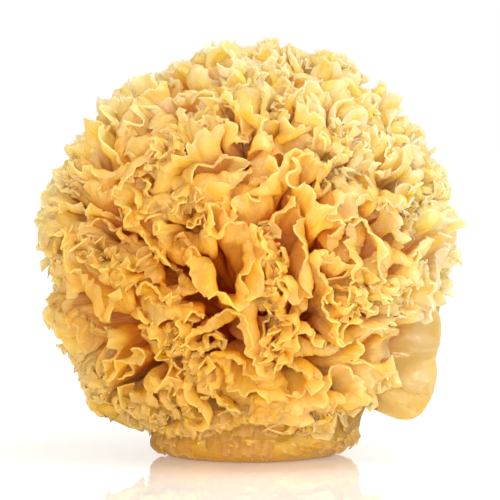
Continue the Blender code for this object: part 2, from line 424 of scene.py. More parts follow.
@dataclass(frozen=True)
class Vigour:
    """How strongly the sheets ruffle at each direction of the ball.

    The broad, plain webs of the head are directions with little growth.
    """

    plain_webs: tuple[tuple[float, ...], ...] = (
        (0.60, -0.62, 0.51, 0.22),
        (0.94, -0.30, 0.12, 0.20),
        (-0.80, -0.55, 0.23, 0.18),
        (-0.30, 0.80, 0.50, 0.22),
        (0.20, 0.75, -0.60, 0.22),
        (-0.65, 0.30, 0.70, 0.20),
    )
    plainness: float = 0.45
    waves: tuple[tuple[float, ...], ...] = (
        (7.0, 3.0, -4.0, 0.3),
        (-4.0, 8.0, 2.0, 2.2),
        (3.0, -3.0, 8.0, 4.1),
        (9.0, 5.0, 6.0, 1.0),
    )
    unevenness: float = 0.12
    least: float = 0.3
    most: float = 1.8

    def at(self, direction: np.ndarray) -> np.ndarray:
        """The growth at each direction, about 1 on average."""
        growth = 1.0 + self.unevenness * wave_sum(direction, self.waves)
        for *heading, spread in self.plain_webs:
            growth = growth * (1.0 - self.plainness * nearness(direction, heading, spread))
        return np.clip(growth, self.least, self.most)


@dataclass(frozen=True)
class Lean:
    """The way the sheets lean over as they grow. It swirls slowly over the ball and leaves no gaps."""

    wave_count: int = 16
    slowest: float = 4.0
    fastest: float = 11.0
    seed: int = 17

    def at(self, direction: np.ndarray) -> np.ndarray:
        """Vectors along the ball's surface, with a spread of one.

        Args:
            direction: directions on the ball.

        Returns:
            The lean at each direction.
        """
        rng = np.random.default_rng(self.seed)
        slope = np.zeros_like(direction)
        for _ in range(self.wave_count):
            heading = unit(rng.normal(size=3)) * rng.uniform(self.slowest, self.fastest)
            slope += np.cos(direction @ heading + rng.uniform(0.0, math.tau))[..., None] * unit(heading)
        lean = np.cross(direction, slope)
        return lean / lean.std()


@dataclass(frozen=True)
class GrowthStage:
    """How far and how finely the sheets grow in one stage, and what holds them meanwhile."""

    steps: int
    gap: float
    rim_growth: float
    outward_growth: float
    first_level: float
    stiffness_around: float
    stiffness_outward: float
    roughness: float
    noise_passes: int
    patchiness: float
    patch_passes: int
    pair_interval: int
    rim_bias: float = 1.25
    lean: float = 0.0
    wall_slack: float = 0.035
    lobe_slack: float = 0.12
    foot_slack: float = 0.01
    relaxations: int = 3
    pull_share: float = 0.45
    push_share: float = 0.4
    look_ahead: float = 1.28
    joined_within: int = 2
    ripe_after: float = 0.7
    outward_from: float = 0.25
    roused_at: float = 0.3
    evenness: float = 0.45
    neighbours: int = 8
    hold_interval: int = 2
    held_rings: int = 2
    seed: int = 5


def near_pairs(points: np.ndarray, reach: float) -> tuple[np.ndarray, np.ndarray]:
    """Finds the points that are close to each other.

    Args:
        points: places in the frame.
        reach: how close counts.

    Returns:
        The index of the first and of the second point of each pair.
    """
    offset, row = 0.2, 1024
    cell = np.floor((points + offset) / reach).astype(np.int64)
    key = (cell[:, 0] * row + cell[:, 1]) * row + cell[:, 2]
    order = np.argsort(key, kind="stable")
    ranked = key[order]
    steps = [(x * row + y) * row + z for x in (-1, 0, 1) for y in (-1, 0, 1) for z in (-1, 0, 1)]
    firsts, seconds = [], []
    for step in (step for step in steps if step >= 0):
        low = np.searchsorted(ranked, ranked + step, side="left")
        high = np.searchsorted(ranked, ranked + step, side="right")
        if step == 0:
            low = np.arange(len(points)) + 1
        count = np.maximum(high - low, 0)
        first = np.repeat(np.arange(len(points)), count)
        within = np.arange(count.sum()) - np.repeat(np.cumsum(count) - count, count)
        second = np.repeat(low, count) + within
        first, second = order[first], order[second]
        apart = points[first] - points[second]
        close = np.einsum("ij,ij->i", apart, apart) < reach * reach
        firsts.append(first[close])
        seconds.append(second[close])
    return np.concatenate(firsts), np.concatenate(seconds)


class RuffleGrowth:
    """Grows the frilled sheets through one stage."""

    def __init__(
        self,
        layout: FrondLayout,
        stage: GrowthStage,
        points: np.ndarray,
        levels: np.ndarray,
        ceiling: np.ndarray,
        obstacles: np.ndarray,
    ) -> None:
        """Sets a stage up.

        Args:
            layout: where the fronds sit.
            stage: how they grow.
            points: their sheets, an array of fronds by rings by columns by three.
            levels: how far out each ring lies.
            ceiling: how far out each column may reach.
            obstacles: points of other tissue that the sheets keep off.
        """
        self.layout, self.stage, self.obstacles = layout, stage, obstacles
        self.inner_rings = int(np.searchsorted(levels, stage.first_level))
        self.inner = points[:, : self.inner_rings]
        self.points = points[:, self.inner_rings :].copy()
        self.levels = levels[self.inner_rings :]
        self.ceiling = ceiling
        self.rng = np.random.default_rng(stage.seed)
        self.start = self.points.copy()
        self.rise = ramp(self.levels, self.levels[0], 1.0)
        around = np.linalg.norm(next_round(self.points, -1) - self.points, axis=-1)
        even = around.mean(axis=2, keepdims=True)
        self.around = (1.0 - stage.evenness) * around + stage.evenness * even
        self.outward = np.linalg.norm(self.points[:, 1:] - self.points[:, :-1], axis=-1)
        direction, _ = BALL.seen_from_fork(self.points)
        self.lean = stage.lean * (self.rise**1.5)[None, :, None, None] * Lean().at(direction)
        patches = soft_noise(self.rng, self.points.shape[:3], stage.patch_passes)
        self.growth = Vigour().at(direction) * np.clip(1.0 + stage.patchiness * patches, 0.1, 2.2)
        bumps = soft_noise(self.rng, self.points.shape, stage.noise_passes)
        roused = ramp(self.rise, 0.0, stage.roused_at)[None, :, None, None]
        self.points += stage.roughness * roused * bumps * np.sqrt(self.growth)[..., None]
        self.walls, self.slack = self.cell_walls()
        self.frond, self.ring, self.column = (
            grid.ravel() for grid in np.meshgrid(*map(np.arange, self.points.shape[:3]), indexing="ij")
        )
        self.pairs = (np.zeros(0, int), np.zeros(0, int))

    def cell_walls(self) -> tuple[np.ndarray, np.ndarray]:
        """The walls between each frond and its nearest neighbours.

        Returns:
            The walls' normals and how far a sheet may reach past each.
        """
        sites, lobe = self.layout.sites, self.layout.lobe_index
        normals, slack = [], []
        fronds = [index for index in range(len(sites)) if index != lobe]
        for index in fronds * (len(self.points) // len(fronds)):
            near = np.argsort(-(sites @ sites[index]))[1 : self.stage.neighbours + 1]
            normals.append(unit(sites[near] - sites[index]))
            slack.append(np.where(near == lobe, self.stage.lobe_slack, self.stage.wall_slack))
        return np.array(normals), np.array(slack)

    @staticmethod
    def pull(span: np.ndarray, rest: np.ndarray, strength: float) -> np.ndarray:
        """How far the near end of each step moves towards its far end, to come to its rest length."""
        length = np.linalg.norm(span, axis=-1) + TINY
        return (strength * (length - rest) / length)[..., None] * span

    def stretch(self, around_growth: np.ndarray, outward_growth: np.ndarray) -> None:
        """Pulls the sheets towards their grown lengths.

        Args:
            around_growth: how much longer each step round the sheet is.
            outward_growth: how much longer each step along it is.
        """
        around, outward = self.around * around_growth, self.outward * outward_growth
        move = np.zeros_like(self.points)
        pull = self.pull(next_round(self.points, -1) - self.points, around, 0.5)
        move += pull - next_round(pull, 1)
        pull = self.pull(self.points[:, 1:] - self.points[:, :-1], outward, 0.5)
        move[:, :-1] += pull
        move[:, 1:] -= pull
        slanted = np.hypot(around[:, 1:], outward)
        for side in (-1, 1):
            pull = self.pull(next_round(self.points[:, 1:], side) - self.points[:, :-1], slanted, 0.25)
            move[:, :-1] += pull
            move[:, 1:] -= next_round(pull, -side)
        self.points += self.stage.pull_share * move

    def stiffen(self) -> None:
        """Smooths the sharpest bends, as the sheet's own stiffness does."""
        bend = 0.5 * (next_round(self.points, 1) + next_round(self.points, -1)) - self.points
        self.points += self.stage.stiffness_around * (
            bend - 0.5 * (next_round(bend, 1) + next_round(bend, -1))
        )
        bend = np.zeros_like(self.points)
        bend[:, 1:-1] = 0.5 * (self.points[:, 2:] + self.points[:, :-2]) - self.points[:, 1:-1]
        change = bend.copy()
        change[:, 1:-1] -= 0.5 * (bend[:, 2:] + bend[:, :-2])
        self.points += self.stage.stiffness_outward * change

    def meet(self) -> None:
        """Finds which points are close enough to push each other apart."""
        everything = np.concatenate([self.points.reshape(-1, 3), self.obstacles])
        first, second = near_pairs(everything, self.stage.gap * self.stage.look_ahead)
        grown = len(self.frond)
        free = (first < grown) | (second < grown)
        first, second = first[free], second[free]
        own = (first < grown) & (second < grown)
        a, b = np.where(own, first, 0), np.where(own, second, 0)
        columns = np.abs(self.column[a] - self.column[b])
        columns = np.minimum(columns, self.points.shape[2] - columns)
        rings = np.abs(self.ring[a] - self.ring[b])
        close = np.maximum(columns, rings) <= self.stage.joined_within
        joined = own & (self.frond[a] == self.frond[b]) & close
        self.pairs = (first[~joined], second[~joined])

    def push_apart(self) -> None:
        """Keeps the sheets off each other."""
        first, second = self.pairs
        everything = np.concatenate([self.points.reshape(-1, 3), self.obstacles])
        span = everything[first] - everything[second]
        distance = np.sqrt(np.einsum("ij,ij->i", span, span)) + TINY
        near = distance < self.stage.gap
        first, second, span, distance = first[near], second[near], span[near], distance[near]
        push = span * (self.stage.push_share * (self.stage.gap - distance) / distance)[:, None]
        total = len(everything)
        count = np.maximum(np.bincount(first, minlength=total) + np.bincount(second, minlength=total), 1)
        for axis in range(3):
            moved = np.bincount(first, push[:, axis], minlength=total)
            moved -= np.bincount(second, push[:, axis], minlength=total)
            everything[:, axis] += moved / count
        self.points = everything[: len(self.frond)].reshape(self.points.shape)

    def hold_in(self) -> None:
        """Keeps each sheet in its own share of the ball, off the foot and under the ball's surface."""
        direction, share = GROWING_ROOM.seen_from_fork(self.points)
        for wall in range(self.walls.shape[1]):
            normal = self.walls[:, wall][:, None, None, :]
            past = (direction * normal).sum(-1) - self.slack[:, wall][:, None, None]
            direction -= np.maximum(past, 0.0)[..., None] * normal
        low = -math.cos(self.layout.foot_cap - self.stage.foot_slack)
        direction[..., 2] = np.maximum(direction[..., 2], low)
        self.points = GROWING_ROOM.place(unit(direction), np.minimum(share, self.ceiling[:, None, :]))

    def run(self) -> np.ndarray:
        """Grows the sheets.

        Returns:
            The whole sheets after the stage.
        """
        stage = self.stage
        for step in range(stage.steps):
            ripe = min(1.0, (step + 1) / (stage.ripe_after * stage.steps))
            reach = ripe * self.rise[None, :, None] ** stage.rim_bias
            around = 1.0 + (stage.rim_growth - 1.0) * reach * self.growth
            gain = ramp(self.rise[1:], stage.outward_from, 1.0)[None, :, None]
            outward = 1.0 + (stage.outward_growth - 1.0) * ripe * gain
            for _ in range(stage.relaxations):
                self.stretch(around, outward)
                self.stiffen()
            self.points += self.lean
            if step % stage.pair_interval == 0:
                self.meet()
            self.push_apart()
            if step % stage.hold_interval == 0:
                self.hold_in()
            self.points[:, : stage.held_rings] = self.start[:, : stage.held_rings]
        return np.concatenate([self.inner, self.points], axis=1)


@dataclass(frozen=True)
class RaggedRim:
    """How the grown rims are trimmed and crinkled: pointed tips with hollow edges between, and fine teeth."""

    scallops: tuple[tuple[float, float], ...] = ((34.0, 0.0019), (13.0, 0.0011), (5.0, 0.0006))
    patch_length: float = 3.0
    patch_contrast: float = 1.5
    least_scallop: float = 0.25
    patchiness: float = 1.3
    teeth: float = 0.00016
    crinkle: float = 0.00026
    crinkle_depth: float = 0.0022
    crinkle_lengths: tuple[float, float] = (5.0, 11.0)
    slow_crinkle: float = 0.7
    crease: float = 0.00020
    crease_depth: float = 0.0100
    crease_passes: int = 6
    crumple: float = 0.00070
    crumple_depth: float = 0.0160
    seed: int = 23

    def wave(self, rng: np.random.Generator, fronds: int, columns: int, length: float) -> np.ndarray:
        """Smooth noise round the rims.

        Args:
            rng: the seeded source of numbers.
            fronds: how many rims.
            columns: how many points each rim has.
            length: the length of a wave in columns.

        Returns:
            An array of fronds by columns, with a spread of one.
        """
        highest = max(2, int(1.6 * columns / length))
        turn = np.arange(columns) * math.tau / columns
        wave = np.zeros((fronds, columns))
        for count in range(max(1, highest // 3), highest + 1):
            size, phase = rng.normal(size=(fronds, 1)), rng.uniform(0.0, math.tau, size=(fronds, 1))
            wave += size * np.sin(count * turn + phase)
        return wave / wave.std()

    def trim(self, rng: np.random.Generator, fronds: int, columns: int) -> np.ndarray:
        """How much is cut off each column of each rim."""
        cut = self.teeth * np.abs(rng.normal(size=(fronds, columns)))
        for length, depth in self.scallops:
            patches = self.wave(rng, fronds, columns, self.patch_length * length)
            patches = 0.5 + 0.5 * np.tanh(self.patch_contrast * patches)
            scallops = np.abs(self.wave(rng, fronds, columns, length))
            cut += depth * (self.least_scallop + self.patchiness * patches) * scallops
        return cut


@dataclass
class FrilledFronds:
    """The thirty-three frilled fronds of the head, each with an outer and an inner sheet."""

    layout: FrondLayout
    obstacles: np.ndarray
    funnel: PleatedFunnel = PleatedFunnel()
    rim: RaggedRim = RaggedRim()
    thickness: float = 0.00045
    ceiling_height: float = 0.985
    ceiling_unevenness: float = 0.045
    fine_unevenness: float = 0.012
    rim_steps: tuple[float, ...] = (0.0, 0.0004, 0.001, 0.0019, 0.0031, 0.0046, 0.0064, 0.0085)
    middle_steps: tuple[float, ...] = (0.0107, 0.0131, 0.0157, 0.0185, 0.0215)
    inner_rings: int = 9
    inner_closeness: float = 0.9
    least_inner: float = 0.004
    pole_depth: float = 0.14
    uv_turn: float = 10.0
    rim_columns: tuple[int, int] = (352, 176)
    inner_width: float = 0.44
    seed: int = 11
    first_stage: GrowthStage = GrowthStage(
        steps=42, gap=0.0025, rim_growth=1.80, outward_growth=1.15, first_level=0.0,
        stiffness_around=0.08, stiffness_outward=0.08, roughness=0.0009, noise_passes=1,
        patchiness=0.2, patch_passes=6, pair_interval=7, lean=0.00011,
        wall_slack=0.10, lobe_slack=0.24, seed=5,
    )
    second_stage: GrowthStage = GrowthStage(
        steps=22, gap=0.0017, rim_growth=1.36, outward_growth=1.13, first_level=0.42,
        stiffness_around=0.10, stiffness_outward=0.10, roughness=0.0004, noise_passes=2,
        patchiness=0.25, patch_passes=8, pair_interval=8, lean=0.00005,
        wall_slack=0.13, lobe_slack=0.27, seed=9,
    )

    def grown(self) -> np.ndarray:
        """Grows all the sheets.

        Returns:
            Their points, an array of fronds by rings by columns by three.
        """
        fronds = [index for index in range(self.layout.count) if index != self.layout.lobe_index]
        funnels = (self.funnel, replace(self.funnel, width=self.inner_width))
        points = np.array([funnel.sheet(self.layout, index) for funnel in funnels for index in fronds])
        levels = self.funnel.levels()
        rng = np.random.default_rng(self.seed)
        shape = (len(points), 1, self.funnel.columns)
        points = GROWING_ROOM.place(*BALL.seen_from_fork(points))
        uneven = np.clip(soft_noise(rng, shape, 4)[:, 0], -2.4, 1.1)
        ceiling = self.ceiling_height + self.ceiling_unevenness * uneven
        points = RuffleGrowth(self.layout, self.first_stage, points, levels, ceiling, self.obstacles).run()
        LOG.info("first growth done")
        points = self.finer(points)
        new, old = np.linspace(0.0, 1.0, points.shape[1]), np.linspace(0.0, 1.0, len(levels))
        levels = np.interp(new, old, levels)
        ceiling = np.repeat(ceiling, 2, axis=1)
        ceiling += self.fine_unevenness * soft_noise(rng, (len(points), 1, points.shape[2]), 3)[:, 0]
        points = RuffleGrowth(self.layout, self.second_stage, points, levels, ceiling, self.obstacles).run()
        LOG.info("second growth done")
        return points

    @staticmethod
    def more_columns(points: np.ndarray) -> np.ndarray:
        """The sheets with a new column between each two, on a smooth curve."""
        before, after, beyond = (next_round(points, step) for step in (1, -1, -2))
        middle = (9.0 * (points + after) - before - beyond) / 16.0
        return np.stack([points, middle], axis=3).reshape(*points.shape[:2], -1, 3)

    @classmethod
    def finer(cls, points: np.ndarray) -> np.ndarray:
        """The sheets with twice the columns and twice the rings."""
        wide = cls.more_columns(points)
        first, last = 2 * wide[:, :1] - wide[:, 1:2], 2 * wide[:, -1:] - wide[:, -2:-1]
        padded = np.concatenate([first, wide, last], axis=1)
        middle = (9.0 * (padded[:, 1:-2] + padded[:, 2:-1]) - padded[:, :-3] - padded[:, 3:]) / 16.0
        rings = np.zeros((wide.shape[0], 2 * wide.shape[1] - 1, wide.shape[2], 3))
        rings[:, ::2] = wide
        rings[:, 1::2] = middle
        return rings

    def trimmed(self, points: np.ndarray) -> tuple[np.ndarray, np.ndarray]:
        """Cuts the rims ragged and lays the rings out close together near them.

        Args:
            points: the grown sheets.

        Returns:
            The new sheets, from the stalk to the rim, and each ring's distance from the rim.
        """
        points = self.more_columns(points)
        fronds, _, columns = points.shape[:3]
        rng = np.random.default_rng(self.rim.seed)
        steps = np.linalg.norm(points[:, 1:] - points[:, :-1], axis=-1)
        travelled = np.concatenate([np.zeros((fronds, 1, columns)), np.cumsum(steps, axis=1)], axis=1)
        end = travelled[:, -1] - self.rim.trim(rng, fronds, columns)
        outer = np.array(self.middle_steps[::-1] + self.rim_steps[::-1])
        shares = np.linspace(0.0, 1.0, self.inner_rings, endpoint=False) ** self.inner_closeness
        inner = shares[None, :, None] * np.maximum(end - outer[0], self.least_inner)[:, None]
        wanted = np.concatenate([inner, end[:, None] - outer[None, :, None]], axis=1)
        rings = np.array([self.along(points, travelled, wanted[:, ring]) for ring in range(wanted.shape[1])])
        rings = np.moveaxis(rings, 0, 1)
        rings += self.crinkles(rng, rings, outer)
        return rings, np.concatenate([(end[:, None] - inner).mean(axis=(0, 2)), outer])

    @staticmethod
    def along(points: np.ndarray, travelled: np.ndarray, wanted: np.ndarray) -> np.ndarray:
        """Points on a smooth curve along each column.

        Args:
            points: the sheets.
            travelled: how far along its column each point lies.
            wanted: how far along each column a point is wanted.

        Returns:
            The wanted points, an array of fronds by columns by three.
        """
        last = points.shape[1] - 1
        after = np.clip((travelled < wanted[:, None]).sum(axis=1), 1, last)

        def picked(values: np.ndarray, ring: np.ndarray) -> np.ndarray:
            """The values at one ring of each column."""
            index = np.clip(ring, 0, last)[:, None]
            index = index[..., None] if values.ndim == 4 else index
            return np.take_along_axis(values, index, axis=1)[:, 0]

        start, stop = picked(travelled, after - 1), picked(travelled, after)
        share = np.clip((wanted - start) / (stop - start + TINY), 0.0, 1.0)[..., None]
        before, low, high, beyond = (picked(points, after + shift) for shift in (-2, -1, 0, 1))
        slope_low, slope_high = 0.5 * (high - before), 0.5 * (beyond - low)
        square, cube = share**2, share**3
        return (
            low * (2 * cube - 3 * square + 1)
            + slope_low * (cube - 2 * square + share)
            + high * (3 * square - 2 * cube)
            + slope_high * (cube - square)
        )

    def crinkles(self, rng: np.random.Generator, rings: np.ndarray, outer: np.ndarray) -> np.ndarray:
        """Small waves across the sheets close to their rims.

        Args:
            rng: the seeded source of numbers.
            rings: the trimmed sheets.
            outer: the outer rings' distances from the rim.

        Returns:
            How each point moves.
        """
        around = next_round(rings, -1) - next_round(rings, 1)
        outward = np.gradient(rings, axis=1)
        normal = np.cross(around, outward)
        normal /= np.linalg.norm(normal, axis=-1, keepdims=True) + 1e-12
        fronds, count, columns = rings.shape[:3]
        rim = self.rim
        fine, slow = (rim.wave(rng, fronds, columns, length) for length in rim.crinkle_lengths)
        creases = soft_noise(rng, (fronds, count, columns), 3)
        for _ in range(rim.crease_passes):
            smooth_rings(creases)
        creases /= creases.std()
        ridges = [soft_noise(rng, (fronds, count, columns), 8) for _ in range(2)]
        height = np.zeros((fronds, count, columns))
        for size, depth, pattern in (
            (rim.crinkle, rim.crinkle_depth, (fine + rim.slow_crinkle * slow)[:, None, :]),
            (rim.crease, rim.crease_depth, creases),
            (rim.crumple, rim.crumple_depth, np.abs(ridges[0]) - np.abs(ridges[1])),
        ):
            fade = np.zeros(count)
            fade[-len(outer) :] = np.exp(-outer / depth)
            height += size * fade[None, :, None] * pattern
        return height[..., None] * normal

    def columns_of(self, ring: int, count: int, rim: int) -> int:
        """How many columns a ring of the finished mesh has, where its rim has a given number."""
        from_rim = count - 1 - ring
        if from_rim < len(self.rim_steps):
            return rim
        if from_rim < len(self.rim_steps) + len(self.middle_steps):
            return rim // 2
        return rim // (4 if ring > 3 else 8)

    def woven(
        self, sheet: np.ndarray, depth: np.ndarray, rim: int
    ) -> tuple[np.ndarray, list[list[int]], np.ndarray, np.ndarray]:
        """Lays one sheet's mesh out. Its rings have fewer points towards the stalk.

        Args:
            sheet: its points, an array of rings by columns by three.
            depth: each ring's distance from the rim.
            rim: how many points its rim has.

        Returns:
            Its vertices, its faces, and each vertex's turn and distance from the rim.
        """
        count, columns = sheet.shape[:2]
        widths = [self.columns_of(ring, count, rim) for ring in range(count)]
        firsts = np.concatenate([[0], np.cumsum(widths)])
        verts = np.concatenate([sheet[ring, :: columns // width] for ring, width in enumerate(widths)])
        pole = sheet[0].mean(axis=0) * (1.0 - self.pole_depth) + np.array(BALL.fork) * self.pole_depth
        verts = np.concatenate([verts, pole[None]])
        turn = np.concatenate([np.arange(width) / width for width in widths] + [[0.0]])
        along = np.concatenate([np.repeat(depth, widths), depth[:1]])
        faces = [[len(verts) - 1, (step + 1) % widths[0], step] for step in range(widths[0])]
        for ring in range(count - 1):
            low, high = firsts[ring], firsts[ring + 1]
            step = np.arange(widths[ring])
            after = (step + 1) % widths[ring]
            if widths[ring] == widths[ring + 1]:
                faces += np.stack([low + step, low + after, high + after, high + step], axis=1).tolist()
                continue
            mid, end = high + 2 * step + 1, high + (2 * step + 2) % widths[ring + 1]
            faces += np.stack([low + step, mid, high + 2 * step], axis=1).tolist()
            faces += np.stack([low + step, low + after, mid], axis=1).tolist()
            faces += np.stack([low + after, end, mid], axis=1).tolist()
        return verts, faces, turn, along

    def joined(self, name: str, sheets: list[np.ndarray], depth: np.ndarray) -> bpy.types.Object:
        """Makes one frond's mesh of its outer and its inner sheet.

        Args:
            name: the piece's name.
            sheets: the two sheets' points.
            depth: each ring's distance from the rim.

        Returns:
            The object, still without thickness.
        """
        woven = [self.woven(sheet, depth, rim) for sheet, rim in zip(sheets, self.rim_columns)]
        verts, turn, along = (np.concatenate([part[item] for part in woven]) for item in (0, 2, 3))
        first = len(woven[0][0])
        faces = woven[0][1] + [[corner + first for corner in face] for face in woven[1][1]]
        corners = np.fromiter(chain.from_iterable(faces), int)
        across = turn[corners]
        sizes = np.array([len(face) for face in faces])
        starts = np.repeat(np.cumsum(sizes) - sizes, sizes)
        wraps = across < across[starts] - 0.5
        early = across > across[starts] + 0.5
        uv = np.stack([(across + wraps - early) * self.uv_turn, along[corners] * UV_PER_METRE], axis=1)
        return sheet_piece(name, verts, faces, uv)

    def build(self, material: bpy.types.Material) -> list[bpy.types.Object]:
        """Grows, trims and dresses the fronds.

        Args:
            material: the frond tissue.

        Returns:
            The finished pieces.
        """
        sheets, depth = self.trimmed(self.grown())
        pieces = []
        count = len(sheets) // 2
        for number, pair in enumerate(zip(sheets[:count], sheets[count:]), start=1):
            piece = self.joined(f"frilled_frond_{number:02d}", list(pair), depth)
            thicken(piece, self.thickness)
            finish_piece(piece, material, f"frond_{number:02d}", Slot.FROND)
            pieces.append(piece)
        return pieces


def pick_only(piece: bpy.types.Object) -> None:
    """Makes a piece the only one that is selected, and the active one."""
    bpy.ops.object.select_all(action="DESELECT")
    piece.select_set(True)
    bpy.context.view_layer.objects.active = piece


def thicken(piece: bpy.types.Object, thickness: float) -> None:
    """Gives a sheet its thickness, half to each side."""
    pick_only(piece)
    modifier = piece.modifiers.new("thickness", "SOLIDIFY")
    modifier.thickness, modifier.offset, modifier.use_rim = thickness, 0.0, True
    bpy.ops.object.modifier_apply(modifier=modifier.name)


def link_new(name: str, data: bpy.types.ID) -> bpy.types.Object:
    """Adds an object with the given data to the scene."""
    holder = bpy.data.objects.new(name, data)
    bpy.context.scene.collection.objects.link(holder)
    return holder


def primitive(name: str, operator: Callable[..., set[str]], **values: float | str) -> bpy.types.Object:
    """Adds one of Blender's own primitives.

    Args:
        name: the object's name.
        operator: the operator that adds it.
        **values: the operator's settings.

    Returns:
        The object.
    """
    bpy.ops.object.select_all(action="DESELECT")
    operator(**values)
    piece = bpy.context.active_object
    piece.name = piece.data.name = name
    return piece


def set_points(mesh: bpy.types.Mesh, points: np.ndarray) -> None:
    """Moves a mesh's vertices to new points."""
    mesh.vertices.foreach_set("co", points.astype(np.float32).ravel())
    mesh.update()


def sheet_piece(name: str, points: np.ndarray, faces: list[list[int]], uv: np.ndarray) -> bpy.types.Object:
    """Adds a sheet's mesh with its UV map.

    Args:
        name: the object's name.
        points: its vertices.
        faces: its faces, as indices of the vertices.
        uv: the map's place of each corner of each face.

    Returns:
        The object, still without thickness.
    """
    mesh = bpy.data.meshes.new(name)
    mesh.from_pydata(points.tolist(), [], faces)
    mesh.uv_layers.new(name="sheet").data.foreach_set("uv", uv.astype(np.float32).ravel())
    return link_new(name, mesh)


def finish_piece(piece: bpy.types.Object, material: bpy.types.Material, node: str, slot: Slot) -> None:
    """Dresses a piece and ties it to the frame.

    Args:
        piece: the piece.
        material: its finish.
        node: the solid of the frame that it stands for.
        slot: not used.
    """
    piece.data.materials.clear()
    piece.data.materials.append(material)
    pick_only(piece)
    bpy.ops.object.shade_smooth_by_angle(angle=SMOOTH_ANGLE)
    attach(piece, BODY)
    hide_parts(node)
    LOG.info("%s: %d faces", piece.name, len(piece.data.polygons))


@dataclass
class SmoothLobe:
    """The one broad, smooth lobe that hangs at the lower right."""

    layout: FrondLayout
    columns: int = 61
    rows: int = 73
    stalk_spread: float = 0.28
    spread: float = 0.98
    reach: float = 1.07
    corner: float = 0.18
    low_corner: float = 0.16
    bulge: float = 0.10
    tip: float = 0.05
    tip_place: float = 0.8
    tip_spread: float = 0.15
    tuck: float = 0.10
    wave: float = 0.36
    stalk_distance: float = 0.0128
    thickness: float = 0.0009
    ripple: float = 0.0006
    plain_share: float = 0.4
    waves: tuple[tuple[float, float, float], ...] = (
        (2.0, 3.0, 0.4),
        (-3.0, 4.5, 1.7),
        (5.0, 2.0, 3.1),
        (1.0, 8.0, 0.9),
        (7.0, -6.0, 2.2),
    )

    def point(self, outward: np.ndarray, upward: np.ndarray) -> np.ndarray:
        """Points of the fan that the lobe has in the frame.

        Args:
            outward: how far along the lobe, from 0 at the stalk to 1 at its edge.
            upward: how far up its spread, from -1 to 1.

        Returns:
            The points.
        """
        site = self.layout.sites[self.layout.lobe_index]
        stalk = self.stalk_distance / np.linalg.norm(BALL.surface(site) - np.array(BALL.fork))
        low = np.clip(-upward, 0.0, 1.0)
        shrunk = self.corner * np.clip(upward, 0.0, 1.0) ** 4 + self.low_corner * low**8
        tip = self.tip * np.exp(-(((low - self.tip_place) / self.tip_spread) ** 2))
        edge = self.reach * (1.0 - shrunk + self.bulge * np.sin(math.pi * low) + tip)
        opened = np.sin(outward * math.pi / 2.0)
        rise = upward * (self.stalk_spread + (self.spread - self.stalk_spread) * opened)
        rise = rise * (1.0 - self.tuck * low**2)
        sideways = self.wave * outward * np.sin(math.pi * upward + outward)
        heading, share = np.arctan2(rise, sideways), np.hypot(rise, sideways)
        return self.layout.point(self.layout.lobe_index, heading, share, stalk + (edge - stalk) * outward)

    def grid(self, columns: int, rows: int) -> np.ndarray:
        """The lobe's points, rows by columns, with its ripples."""
        outward, upward = np.meshgrid(np.linspace(0.0, 1.0, columns), np.linspace(-1.0, 1.0, rows))
        points = self.point(outward, upward)
        normal = unit(np.cross(np.gradient(points, axis=0), np.gradient(points, axis=1)) + 1e-12)
        waves = sum(
            np.sin(math.pi * (along * outward + across * upward) + phase) / math.sqrt(number)
            for number, (along, across, phase) in enumerate(self.waves, start=1)
        )
        height = self.ripple * waves * ramp(outward, 0.0, self.plain_share) ** 2
        return points + height[..., None] * normal

    def build(self, material: bpy.types.Material) -> bpy.types.Object:
        """Makes and dresses the lobe.

        Args:
            material: its tissue.

        Returns:
            The finished piece.
        """
        piece = primitive(
            "smooth_lobe",
            bpy.ops.mesh.primitive_grid_add,
            x_subdivisions=self.columns - 1,
            y_subdivisions=self.rows - 1,
        )
        set_points(piece.data, self.grid(self.columns, self.rows))
        thicken(piece, self.thickness)
        finish_piece(piece, material, "hanging_lobe", Slot.FROND)
        return piece


